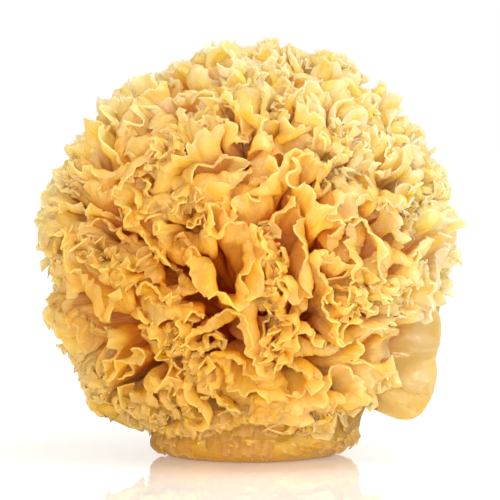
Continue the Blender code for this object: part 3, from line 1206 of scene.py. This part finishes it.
@dataclass
class CutFoot:
    """The gel foot: a bowl with a flat cut below, a neck and the knob that the fronds grow from."""

    knob_radius: float = 0.0115
    foot_radius: float = 0.0256
    rim_height: float = 0.0070
    cut_radius: float = 0.0190
    edge_width: float = 0.0016
    edge_height: float = 0.00015
    bowl_step: float = 0.0004
    bowl_bottom: float = 0.0003
    bowl_rows: int = 18
    bowl_closeness: float = 1.4
    bowl_roundness: float = 2.2
    neck_rows: int = 12
    neck_limit: float = 0.975
    knob_rows: int = 6
    cone: float = math.radians(44.0)
    belly: float = 0.0030
    swell: float = -0.022
    waves: tuple[tuple[float, ...], ...] = ((1.0, 0.045, 1.6), (2.0, 0.022, 0.7), (5.0, 0.013, 2.1))
    widest: float = 0.0047
    droop: float = 0.0006
    turns: int = 360
    folds: int = 44
    fold_height: float = 0.0010
    fold_halves: tuple[float, float] = (0.12, 0.34)
    fold_hems: tuple[float, float] = (0.0016, 0.0066)
    fold_lean: float = 0.004
    fold_curve: float = 0.0012
    fold_wave: float = 0.0004
    fold_side: float = 0.03
    lip: float = 0.0005
    lip_share: float = 0.65
    plain_height: float = 0.0012
    outline_top: float = 0.012
    relief_top: float = 0.02
    seed: int = 7

    def profile(self) -> list[tuple[float, float]]:
        """(radius, height) up the foot's outer side, from the edge of the cut to the knob's top."""
        top = BALL.fork[2]
        neck = top - self.knob_radius * math.cos(self.cone)
        points = [(self.cut_radius, 0.0), (self.cut_radius + self.edge_width, self.edge_height)]
        lowest = points[-1][0] + self.bowl_step
        bottom = self.bowl_bottom
        for step in range(1, self.bowl_rows):
            height = bottom + (self.rim_height - bottom) * (step / self.bowl_rows) ** self.bowl_closeness
            rise, drop = min(height / self.widest, 1.0), max(height / self.widest - 1.0, 0.0)
            radius = lowest + (self.foot_radius - lowest) * (1.0 - (1.0 - rise) ** self.bowl_roundness)
            points.append((radius - self.droop * (drop * 2.0) ** 2, height))
        for step in range(self.neck_rows + 1):
            height = self.rim_height + (neck - self.rim_height) * step / self.neck_rows
            radius = (top - height) * math.tan(self.cone)
            radius += self.belly * math.sin(math.pi * step / self.neck_rows)
            points.append((min(radius, self.foot_radius * self.neck_limit), height))
        for step in range(1, self.knob_rows):
            angle = self.cone + (math.pi - self.cone) * step / self.knob_rows
            points.append((self.knob_radius * math.sin(angle), top - self.knob_radius * math.cos(angle)))
        return points

    def outline(self, turns: int) -> np.ndarray:
        """Points round the foot's outer side, which the fronds keep off."""
        turn = np.arange(turns) * math.tau / turns
        rows = [(radius, height) for radius, height in self.profile()[2::3] if height < self.outline_top]
        return np.array([(r * math.cos(a), r * math.sin(a), z) for r, z in rows for a in turn])

    def relief(self, turn: np.ndarray, height: np.ndarray) -> np.ndarray:
        """How far out the folds pressed against the bowl stand.

        Args:
            turn: angles round the foot.
            height: heights on it.

        Returns:
            The relief in metres.
        """
        rnd = random.Random(self.seed)
        relief = np.zeros_like(turn)
        for _ in range(self.folds):
            middle, half = rnd.uniform(0.0, math.tau), rnd.uniform(*self.fold_halves)
            hem, lean = rnd.uniform(*self.fold_hems), rnd.uniform(-self.fold_lean, self.fold_lean)
            away = (turn - middle + math.pi) % math.tau - math.pi
            edge = hem + lean * away + self.fold_curve * np.abs(away / half) ** 2.5
            edge += self.fold_wave * np.sin(17.0 * away + rnd.uniform(0.0, math.tau))
            lifted = ramp(height - edge, 0.0, self.lip)
            side = ramp(half - np.abs(away), 0.0, self.fold_side)
            lip = np.exp(-(((height - edge - self.lip) / self.lip) ** 2))
            relief += self.fold_height * side * ((1.0 - self.lip_share) * lifted + self.lip_share * lip)
        return relief * ramp(height, 0.0, self.plain_height)

    def build(self, material: bpy.types.Material) -> bpy.types.Object:
        """Makes and dresses the foot.

        Args:
            material: its tissue.

        Returns:
            The finished piece.
        """
        profile = self.profile()
        piece = primitive(
            "gel_foot",
            bpy.ops.mesh.primitive_circle_add,
            vertices=self.turns,
            radius=profile[0][0],
            fill_type="NGON",
        )
        bpy.ops.object.mode_set(mode="EDIT")
        bpy.ops.mesh.select_mode(type="EDGE")
        bpy.ops.mesh.select_all(action="SELECT")
        for (radius, height), (wider, higher) in zip(profile, profile[1:]):
            bpy.ops.mesh.extrude_edges_move(TRANSFORM_OT_translate={"value": (0.0, 0.0, higher - height)})
            bpy.ops.transform.resize(
                value=(wider / radius, wider / radius, 1.0), center_override=(0.0, 0.0, higher)
            )
        bpy.ops.mesh.merge(type="CENTER")
        bpy.ops.mesh.select_all(action="SELECT")
        bpy.ops.mesh.normals_make_consistent(inside=False)
        bpy.ops.object.mode_set(mode="OBJECT")
        self.shape(piece.data)
        finish_piece(piece, material, "foot", Slot.FOOT)
        return piece

    def stretch(self, turn: np.ndarray, outward: np.ndarray) -> np.ndarray:
        """How much wider the foot is than its turned form, at angles and shares of its radius."""
        wave = sum(size * np.sin(count * turn + phase) for count, size, phase in self.waves)
        return 1.0 + (self.swell + wave) * outward**2

    def radius_at(self, height: np.ndarray) -> np.ndarray:
        """The radius of the foot's turned form at heights below its neck."""
        radii, heights = zip(*self.profile()[: 1 - self.knob_rows])
        return np.interp(height, heights, radii)

    def shape(self, mesh: bpy.types.Mesh) -> None:
        """Makes the turned foot uneven, with the folds pressed against it."""
        points = np.zeros(len(mesh.vertices) * 3, dtype=np.float32)
        mesh.vertices.foreach_get("co", points)
        points = points.reshape(-1, 3).astype(float)
        turn = np.arctan2(points[:, 1], points[:, 0])
        across = np.hypot(points[:, 0], points[:, 1])
        outward = across / self.foot_radius
        stretch = self.stretch(turn, outward)
        relief = self.relief(turn, points[:, 2]) * (points[:, 2] < self.relief_top)
        stretch += relief / np.maximum(across, 1e-4)
        points[:, :2] *= stretch[:, None]
        set_points(mesh, points)


@dataclass
class PressedFrills:
    """The small frills that lie pressed against the foot all round."""

    foot: CutFoot
    count: int = 44
    columns: int = 41
    rows: int = 11
    thickness: float = 0.0004
    top: float = 0.0140
    lowest_hem: float = 0.0003
    highest_hem: float = 0.0090
    pressed_to: float = 0.0060
    flare: float = 0.0034
    lift: float = 0.0009
    ruffle: float = 0.0006
    ragged: float = 0.0007
    slant: float = 0.0012
    corner_rise: float = 0.0035
    least_height: float = 0.0006
    clearance: float = 0.0001
    sideways: float = 0.10
    uv_around: float = 50.0
    seed: int = 29

    def petal(self, rnd: random.Random) -> tuple[np.ndarray, np.ndarray]:
        """One frill.

        Args:
            rnd: the seeded source of numbers.

        Returns:
            Its points, an array of rows by columns by three, and its UV map.
        """
        middle, half = rnd.uniform(0.0, math.tau), rnd.uniform(0.14, 0.36)
        hem, flare = rnd.uniform(self.lowest_hem, self.highest_hem), rnd.uniform(0.2, 1.2) * self.flare
        across = np.linspace(-1.0, 1.0, self.columns)
        down = np.linspace(0.0, 1.0, self.rows)[:, None]
        phases = [rnd.uniform(0.0, math.tau) for _ in range(6)]
        edge = hem + self.slant * rnd.uniform(-1.0, 1.0) * across + self.corner_rise * across**6
        teeth = np.sin(7.0 * across + phases[0]) + 0.6 * np.abs(np.sin(19.0 * across + phases[1]))
        edge += self.ragged * teeth
        height = self.top + (np.maximum(edge, self.least_height) - self.top) * down
        fade = down**1.5 * (1.0 - across**6)
        waves = np.sin(3.0 * across + 7.0 * down + phases[2])
        waves = waves + 0.6 * np.sin(8.0 * across - 5.0 * down + phases[3])
        turn = middle + half * (across + self.sideways * fade * np.sin(11.0 * across + phases[4]))
        radius = self.foot.radius_at(np.minimum(height, self.pressed_to))
        radius = radius * self.foot.stretch(turn, radius / self.foot.foot_radius)
        radius = radius + self.clearance + (self.lift + self.ruffle * waves) * fade
        radius += flare * ramp(height, self.pressed_to, self.top)
        points = np.stack([radius * np.cos(turn), radius * np.sin(turn), height], axis=-1)
        around = np.broadcast_to(across * half * self.foot.foot_radius * self.uv_around, height.shape)
        return points, np.stack([around, (self.top - edge) * (1.0 - down) * UV_PER_METRE], axis=-1)

    def petals(self) -> tuple[np.ndarray, np.ndarray]:
        """All the frills' points and UV maps."""
        rnd = random.Random(self.seed)
        petals, maps = zip(*(self.petal(rnd) for _ in range(self.count)))
        return np.array(petals), np.array(maps)

    def build(self, material: bpy.types.Material) -> bpy.types.Object:
        """Makes and dresses the frills.

        Args:
            material: their tissue.

        Returns:
            The finished piece.
        """
        petals, maps = self.petals()
        row, column = np.meshgrid(np.arange(self.rows - 1), np.arange(self.columns - 1), indexing="ij")
        first = (row * self.columns + column).ravel()
        quad = np.stack([first, first + self.columns, first + self.columns + 1, first + 1], axis=1)
        faces = np.concatenate([quad + self.rows * self.columns * number for number in range(self.count)])
        uv = maps.reshape(-1, 2)[faces.ravel()]
        piece = sheet_piece("pressed_frills", petals.reshape(-1, 3), faces.tolist(), uv)
        thicken(piece, self.thickness)
        finish_piece(piece, material, "foot", Slot.FOOT)
        return piece


class Graph:
    """A short way to lay out a material's or a group's nodes."""

    def __init__(self, tree: bpy.types.NodeTree) -> None:
        """Keeps the tree that the nodes go into."""
        self.tree = tree

    def fill(self, node: bpy.types.Node, inputs: dict[int | str, object]) -> None:
        """Sets a node's inputs.

        Args:
            node: the node.
            inputs: the output to link, or the number or colour to set, for each input.
        """
        for key, value in inputs.items():
            socket = node.inputs[key]
            if isinstance(value, bpy.types.NodeSocket):
                self.tree.links.new(value, socket)
            else:
                socket.default_value = (*value, 1.0) if socket.type == "RGBA" else value

    def node(
        self, kind: str, inputs: dict[int | str, object] | None = None, **settings: object
    ) -> bpy.types.Node:
        """Adds a node.

        Args:
            kind: its type, without the "ShaderNode" that all begin with.
            inputs: its inputs, as for fill.
            **settings: its other settings.

        Returns:
            The node.
        """
        node = self.tree.nodes.new("ShaderNode" + kind)
        for key, value in settings.items():
            setattr(node, key, value)
        self.fill(node, inputs or {})
        return node

    def math(self, operation: str, *values: object) -> bpy.types.NodeSocket:
        """The result of a sum on outputs or numbers."""
        return self.node("Math", dict(enumerate(values)), operation=operation).outputs[0]

    def vector(self, operation: str, *values: object) -> bpy.types.NodeSocket:
        """The result of a sum on vectors, which is a number for a length or a dot product."""
        node = self.node("VectorMath", dict(enumerate(values)), operation=operation)
        return node.outputs["Value" if operation in ("LENGTH", "DOT_PRODUCT") else "Vector"]

    def blend(self, factor: object, first: object, second: object, mode: str = "MIX") -> bpy.types.NodeSocket:
        """A mix of two colours, with that much of the second."""
        inputs = {0: factor, 6: first, 7: second}
        return self.node("Mix", inputs, data_type="RGBA", blend_type=mode).outputs[2]

    def spread(
        self, value: object, low: object, high: object, start: float = 0.0, end: float = 1.0
    ) -> bpy.types.NodeSocket:
        """A value mapped from one range to another, kept within it."""
        inputs = {"Value": value, "From Min": low, "From Max": high, "To Min": start, "To Max": end}
        return self.node("MapRange", inputs).outputs[0]

    def noise(self, place: object, scale: object, detail: float, **more: float) -> bpy.types.NodeSocket:
        """The values of a noise pattern. Its further inputs are given by their names."""
        return self.node("TexNoise", {"Vector": place, "Scale": scale, "Detail": detail, **more}).outputs[0]

    def scaled(self, place: object, scale: tuple[float, float, float]) -> bpy.types.NodeSocket:
        """A place with each axis scaled."""
        return self.node("Mapping", {"Vector": place, "Scale": scale}).outputs[0]


def new_group(
    name: str, inputs: Sequence[str], outputs: Sequence[str]
) -> tuple[Graph, bpy.types.NodeOutputs, bpy.types.Node]:
    """Starts a shader node group. The input "Place" is a vector, and all else are numbers.

    Args:
        name: the group's name.
        inputs: the names of what goes in.
        outputs: the names of what comes out.

    Returns:
        Its graph, what it is given, and the node that takes its results.
    """
    tree = bpy.data.node_groups.new(name, "ShaderNodeTree")
    for direction, labels in (("INPUT", inputs), ("OUTPUT", outputs)):
        for label in labels:
            kind = "NodeSocketVector" if label == "Place" else "NodeSocketFloat"
            tree.interface.new_socket(label, in_out=direction, socket_type=kind)
    return Graph(tree), tree.nodes.new("NodeGroupInput").outputs, tree.nodes.new("NodeGroupOutput")


def new_material(name: str) -> tuple[bpy.types.Material, Graph, bpy.types.Node]:
    """A new material, its graph and its main shader."""
    material = bpy.data.materials.new(name)
    material.use_nodes = True
    return material, Graph(material.node_tree), material.node_tree.nodes["Principled BSDF"]


@dataclass(frozen=True)
class SharedEffects:
    """The effects that all the tissues share, as node groups."""

    # The side of the head, low at the front left, that gets painted shade, and the range over which it fades
    # in.
    painted_shade_heading: tuple[float, float, float] = (-0.30, -0.90, -0.28)
    painted_shade_range: tuple[float, float] = (0.15, 0.95)
    cloud_scale: float = 110.0
    speck_scale: float = 95.0
    speck_edge: tuple[float, float] = (0.018, 0.030)
    speck_rarity: float = 0.92

    def depth_tint_and_side_shade(self) -> bpy.types.NodeTree:
        """Builds the group for painted shade: how deep in the head a place is, and how far it faces the side
        that is painted in shade.
        """
        graph, given, result = new_group("depth_tint_and_side_shade", ("Place", "Shallow", "Deep"), ("Depth", "Side Shade"))
        centred = graph.vector("SUBTRACT", given["Place"], BALL.centre)
        facing = graph.vector("DOT_PRODUCT", graph.vector("NORMALIZE", centred), self.painted_shade_heading)
        depth = graph.spread(graph.vector("LENGTH", centred), given["Shallow"], given["Deep"])
        graph.fill(result, {"Depth": depth, "Side Shade": graph.spread(facing, *self.painted_shade_range)})
        return graph.tree

    def dried_gel(self) -> bpy.types.NodeTree:
        """Builds the group for the cloudy tone, the fine wrinkles and the specks of dried gel."""
        graph, given, result = new_group("dried_gel", ("Place", "Grain"), ("Cloud", "Wrinkle", "Speck"))
        place = given["Place"]
        speck = graph.node("TexVoronoi", {"Vector": place, "Scale": self.speck_scale, "Randomness": 1.0})
        dot = graph.spread(speck.outputs["Distance"], *self.speck_edge, 1.0, 0.0)
        chance = graph.node("SeparateColor", {0: speck.outputs["Color"]}).outputs[0]
        rare = graph.math("GREATER_THAN", chance, self.speck_rarity)
        shown = {
            "Cloud": graph.noise(place, self.cloud_scale, 3.0, Roughness=0.55),
            "Wrinkle": graph.noise(place, given["Grain"], 4.0, Distortion=0.6),
            "Speck": graph.math("MULTIPLY", dot, rare),
        }
        graph.fill(result, shown)
        return graph.tree


@dataclass(frozen=True)
class Tissue:
    """Dried gel tissue: pale at its thin rims near the outside, a painted highlight, and amber where it is
    deep, a painted shade; one side of the head also gets painted shade.
    """

    name: str
    outer: tuple[float, float, float] = (1.0, 0.86, 0.25)
    cloudy: tuple[float, float, float] = (1.0, 0.93, 0.68)
    # deep: the painted shade deep in the head.
    deep: tuple[float, float, float] = (1.0, 0.44, 0.0)
    # edge: the pale colour of the painted highlight on rims and veins.
    edge: tuple[float, float, float] = (1.0, 0.96, 0.88)
    # warm: multiplied in as painted shade on one side of the head.
    warm: tuple[float, float, float] = (1.0, 0.86, 0.36)
    shine: tuple[float, float, float] = (1.0, 0.84, 0.58)
    speck: tuple[float, float, float] = (0.10, 0.04, 0.01)
    shallow_radius: float = 0.0492
    deep_radius: float = 0.0330
    edge_width: float = 0.06
    rim_highlight: float = 0.80
    margin_width: float = 0.30
    streak_scale: tuple[float, float, float] = (4.0, 0.45, 1.0)
    streak_height: float = 1.2
    vein_scale: tuple[float, float, float] = (1.5, 0.16, 1.0)
    vein_width: float = 0.09
    vein_highlight: float = 0.4
    vein_height: float = 0.25
    roughness: float = 0.27
    sheerness: float = 0.74
    bump: float = 0.45
    grain: float = 420.0
    wrinkle_depth: float = 0.0009
    has_rim: bool = True

    def with_rim(
        self, graph: Graph, depth: object, colour: object, wrinkle: object
    ) -> tuple[bpy.types.NodeSocket, bpy.types.NodeSocket]:
        """Adds the painted highlight of a frilled sheet, a pale, streaked margin and pale veins that fade
        deeper in the head, and the veins' relief.

        Args:
            graph: the material's graph.
            depth: how deep in the head a place is.
            colour: the tissue's colour without them.
            wrinkle: the height of its wrinkles without them.

        Returns:
            The colour and the height with them.
        """
        sheet = graph.node("UVMap", uv_map="sheet").outputs[0]
        inward = graph.node("SeparateXYZ", {0: sheet}).outputs[1]
        streak = graph.noise(graph.scaled(sheet, self.streak_scale), 5.0, 3.0)
        folds = graph.noise(graph.scaled(sheet, self.vein_scale), 5.0, 2.0, Distortion=0.5)
        # The painted highlight is full near the outside and fades to little deep in the head, where shade
        # falls.
        shallow = graph.spread(depth, 0.0, 0.75, 1.0, 0.15)
        margin = graph.spread(inward, 0.0, self.margin_width, 1.0, 0.0)
        margin = graph.math("MULTIPLY", margin, graph.spread(streak, 0.35, 0.65, 0.25, 0.75))
        rim = graph.spread(inward, 0.0, self.edge_width, self.rim_highlight, 0.0)
        # Painted highlight on the rims: the margin and the rim are blended towards the pale edge colour.
        pale = graph.math("MULTIPLY", graph.math("MAXIMUM", margin, rim), shallow)
        colour = graph.blend(pale, colour, self.edge)
        away = graph.math("ABSOLUTE", graph.math("SUBTRACT", folds, 0.5))
        vein = graph.spread(away, 0.0, self.vein_width, 1.0, 0.0)
        # Painted highlight along the raised veins.
        shown = graph.math("MULTIPLY", graph.math("MULTIPLY", vein, shallow), self.vein_highlight)
        wrinkle = graph.math("ADD", wrinkle, graph.math("MULTIPLY", streak, self.streak_height))
        wrinkle = graph.math("ADD", wrinkle, graph.math("MULTIPLY", vein, self.vein_height))
        return graph.blend(shown, colour, self.edge), wrinkle

    def build(self, depth_tint_and_side_shade: bpy.types.NodeTree, dried_gel: bpy.types.NodeTree) -> bpy.types.Material:
        """Makes the material.

        Args:
            depth_tint_and_side_shade: the shared group for depth.
            dried_gel: the shared group for clouds, wrinkles and specks.

        Returns:
            The material.
        """
        material, graph, shader = new_material(self.name)
        place = graph.node("TexCoord").outputs["Object"]
        radii = {"Shallow": self.shallow_radius, "Deep": self.deep_radius}
        tint_and_shade = graph.node("Group", {"Place": place, **radii}, node_tree=depth_tint_and_side_shade).outputs
        gel = graph.node("Group", {"Place": place, "Grain": self.grain}, node_tree=dried_gel).outputs
        colour = graph.blend(graph.spread(gel["Cloud"], 0.42, 0.66), self.outer, self.cloudy)
        # Painted shade: deeper in the head the colour turns to the deep amber, for the shade in the recesses.
        colour, wrinkle = graph.blend(tint_and_shade["Depth"], colour, self.deep), gel["Wrinkle"]
        if self.has_rim:
            colour, wrinkle = self.with_rim(graph, tint_and_shade["Depth"], colour, wrinkle)
        # Painted shade: the side of the head that faces the shaded heading is multiplied by the warm colour.
        colour = graph.blend(tint_and_shade["Side Shade"], colour, self.warm, "MULTIPLY")
        colour = graph.blend(gel["Speck"], colour, self.speck)
        relief = {"Strength": self.bump, "Distance": self.wrinkle_depth, "Height": wrinkle}
        bump = graph.node("Bump", relief).outputs[0]
        rough = graph.spread(gel["Cloud"], 0.3, 0.7, self.roughness - 0.07, self.roughness + 0.08)
        graph.fill(shader, {"Base Color": colour, "Roughness": rough, "Normal": bump})
        graph.fill(shader, {"Specular IOR Level": 1.0, "Specular Tint": self.shine})
        sheer = graph.node("BsdfTranslucent", {"Color": colour, "Normal": bump}).outputs[0]
        mixed = graph.node("MixShader", {0: self.sheerness, 1: shader.outputs[0], 2: sheer}).outputs[0]
        graph.fill(graph.tree.nodes["Material Output"], {"Surface": mixed})
        return material


@dataclass(frozen=True)
class Studio:
    """A white glossy table, soft lights and the camera at the photo's angle."""

    camera_distance: float = 0.90
    camera_elevation: float = math.radians(3.0)
    sensor_width: float = 36.0
    frame_width: float = 0.1285
    aim: tuple[float, float, float] = (0.0004, 0.0, 0.0527)
    room_light: float = 0.77
    room_tint: tuple[float, float, float] = (1.0, 0.94, 0.78)
    softboxes: tuple[tuple[str, tuple[float, float, float], float, float], ...] = (
        ("softbox_above", (0.25, -0.15, 0.75), 0.60, 3.6),
        ("softbox_right", (0.75, -0.45, 0.38), 0.50, 2.5),
        ("softbox_front", (-0.04, -1.05, 0.13), 0.25, 6.8),
    )
    glow_power: float = 0.10
    glow_size: float = 0.018
    glow_tint: tuple[float, float, float] = (1.0, 0.70, 0.30)
    glow_place: tuple[float, float, float] = (0.0, -0.006, 0.052)

    def build(self) -> None:
        """Builds the table, the lights, the world and the camera."""
        self.table()
        for softbox in self.softboxes:
            self.light(*softbox)
        self.glow()
        self.world()
        self.camera()
        scene = bpy.context.scene
        scene.view_settings.view_transform = "Standard"
        scene.cycles.diffuse_bounces, scene.cycles.transmission_bounces, scene.cycles.max_bounces = 6, 12, 14

    def world(self) -> None:
        """Makes the room, which is white where it is seen and in reflections, and dimmer as a light."""
        world = bpy.data.worlds.new("white_room")
        world.use_nodes = True
        graph = Graph(world.node_tree)
        path = graph.node("LightPath").outputs
        seen = graph.math("MAXIMUM", path["Is Camera Ray"], path["Is Glossy Ray"])
        strength = graph.spread(seen, 0.0, 1.0, self.room_light, 1.0)
        tint = graph.blend(seen, self.room_tint, (1.0, 1.0, 1.0))
        graph.fill(world.node_tree.nodes["Background"], {"Strength": strength, "Color": tint})
        bpy.context.scene.world = world

    def table(self) -> None:
        """Builds the table top."""
        top = primitive("table_top", bpy.ops.mesh.primitive_plane_add, size=6.0)
        material, graph, shader = new_material("white_gloss")
        graph.fill(shader, {"Base Color": (0.93, 0.93, 0.93), "Roughness": 0.02})
        graph.fill(shader, {"Emission Color": (1.0, 1.0, 1.0), "Emission Strength": 0.16})
        top.data.materials.append(material)

    def light(self, name: str, place: tuple[float, float, float], size: float, power: float) -> None:
        """Adds a soft light that points at the fungus.

        Args:
            name: its name.
            place: where it stands.
            size: its width.
            power: its strength in watts.
        """
        lamp = bpy.data.lights.new(name, "AREA")
        lamp.size, lamp.energy = size, power
        holder = link_new(name, lamp)
        holder.location = place
        holder.rotation_euler = (Vector(self.aim) - Vector(place)).to_track_quat("-Z", "Y").to_euler()

    def glow(self) -> None:
        """Adds a faint warm light inside the head, for the light that the tissue itself passes on."""
        lamp = bpy.data.lights.new("inner_glow", "POINT")
        lamp.energy, lamp.shadow_soft_size, lamp.color = self.glow_power, self.glow_size, self.glow_tint
        link_new("inner_glow", lamp).location = self.glow_place

    def camera(self) -> None:
        """Sets the camera up straight in front, a little above the table."""
        lens = bpy.data.cameras.new("camera")
        lens.sensor_width = self.sensor_width
        lens.lens = lens.sensor_width * self.camera_distance / self.frame_width
        holder = link_new("camera", lens)
        back = Vector((0.0, -math.cos(self.camera_elevation), math.sin(self.camera_elevation)))
        holder.location = Vector(self.aim) + back * self.camera_distance
        holder.rotation_euler = (-back).to_track_quat("-Z", "Y").to_euler()
        bpy.context.scene.camera = holder


def main() -> None:
    """Builds the fungus and its studio."""
    logging.basicConfig(level=logging.INFO, format="%(name)s: %(message)s")
    effects = SharedEffects()
    groups = (effects.depth_tint_and_side_shade(), effects.dried_gel())
    frond_tissue = Tissue("frond_tissue").build(*groups)
    lobe_tissue = Tissue(
        "lobe_tissue", outer=(0.80, 0.64, 0.27), cloudy=(0.84, 0.71, 0.44), sheerness=0.6, has_rim=False
    ).build(*groups)
    foot_tissue = Tissue(
        # The foot's deep colour grows away from the ball's centre, so the foot is darker and more amber
        # towards its bottom.
        "foot_tissue", outer=(0.80, 0.55, 0.08), cloudy=(0.83, 0.63, 0.19), deep=(0.70, 0.36, 0.015),
        shallow_radius=0.0520, deep_radius=0.0590, sheerness=0.3, has_rim=False,
    ).build(*groups)
    frill_tissue = Tissue(
        # The frills' pale edge colour is a painted highlight on their rims.
        "foot_frill_tissue", outer=(0.86, 0.63, 0.10), cloudy=(0.90, 0.73, 0.27), edge=(0.98, 0.88, 0.60)
    ).build(*groups)
    layout = FrondLayout()
    lobe = SmoothLobe(layout)
    lobe.build(lobe_tissue)
    foot = CutFoot()
    foot.build(foot_tissue)
    frills = PressedFrills(foot)
    frills.build(frill_tissue)
    hem_points = frills.petals()[0][:, 3::2, ::3].reshape(-1, 3)
    kept_off = np.concatenate([lobe.grid(25, 25).reshape(-1, 3), foot.outline(90), hem_points])
    FrilledFronds(layout, kept_off).build(frond_tissue)
    Studio().build()


if __name__ == "__main__":
    main()
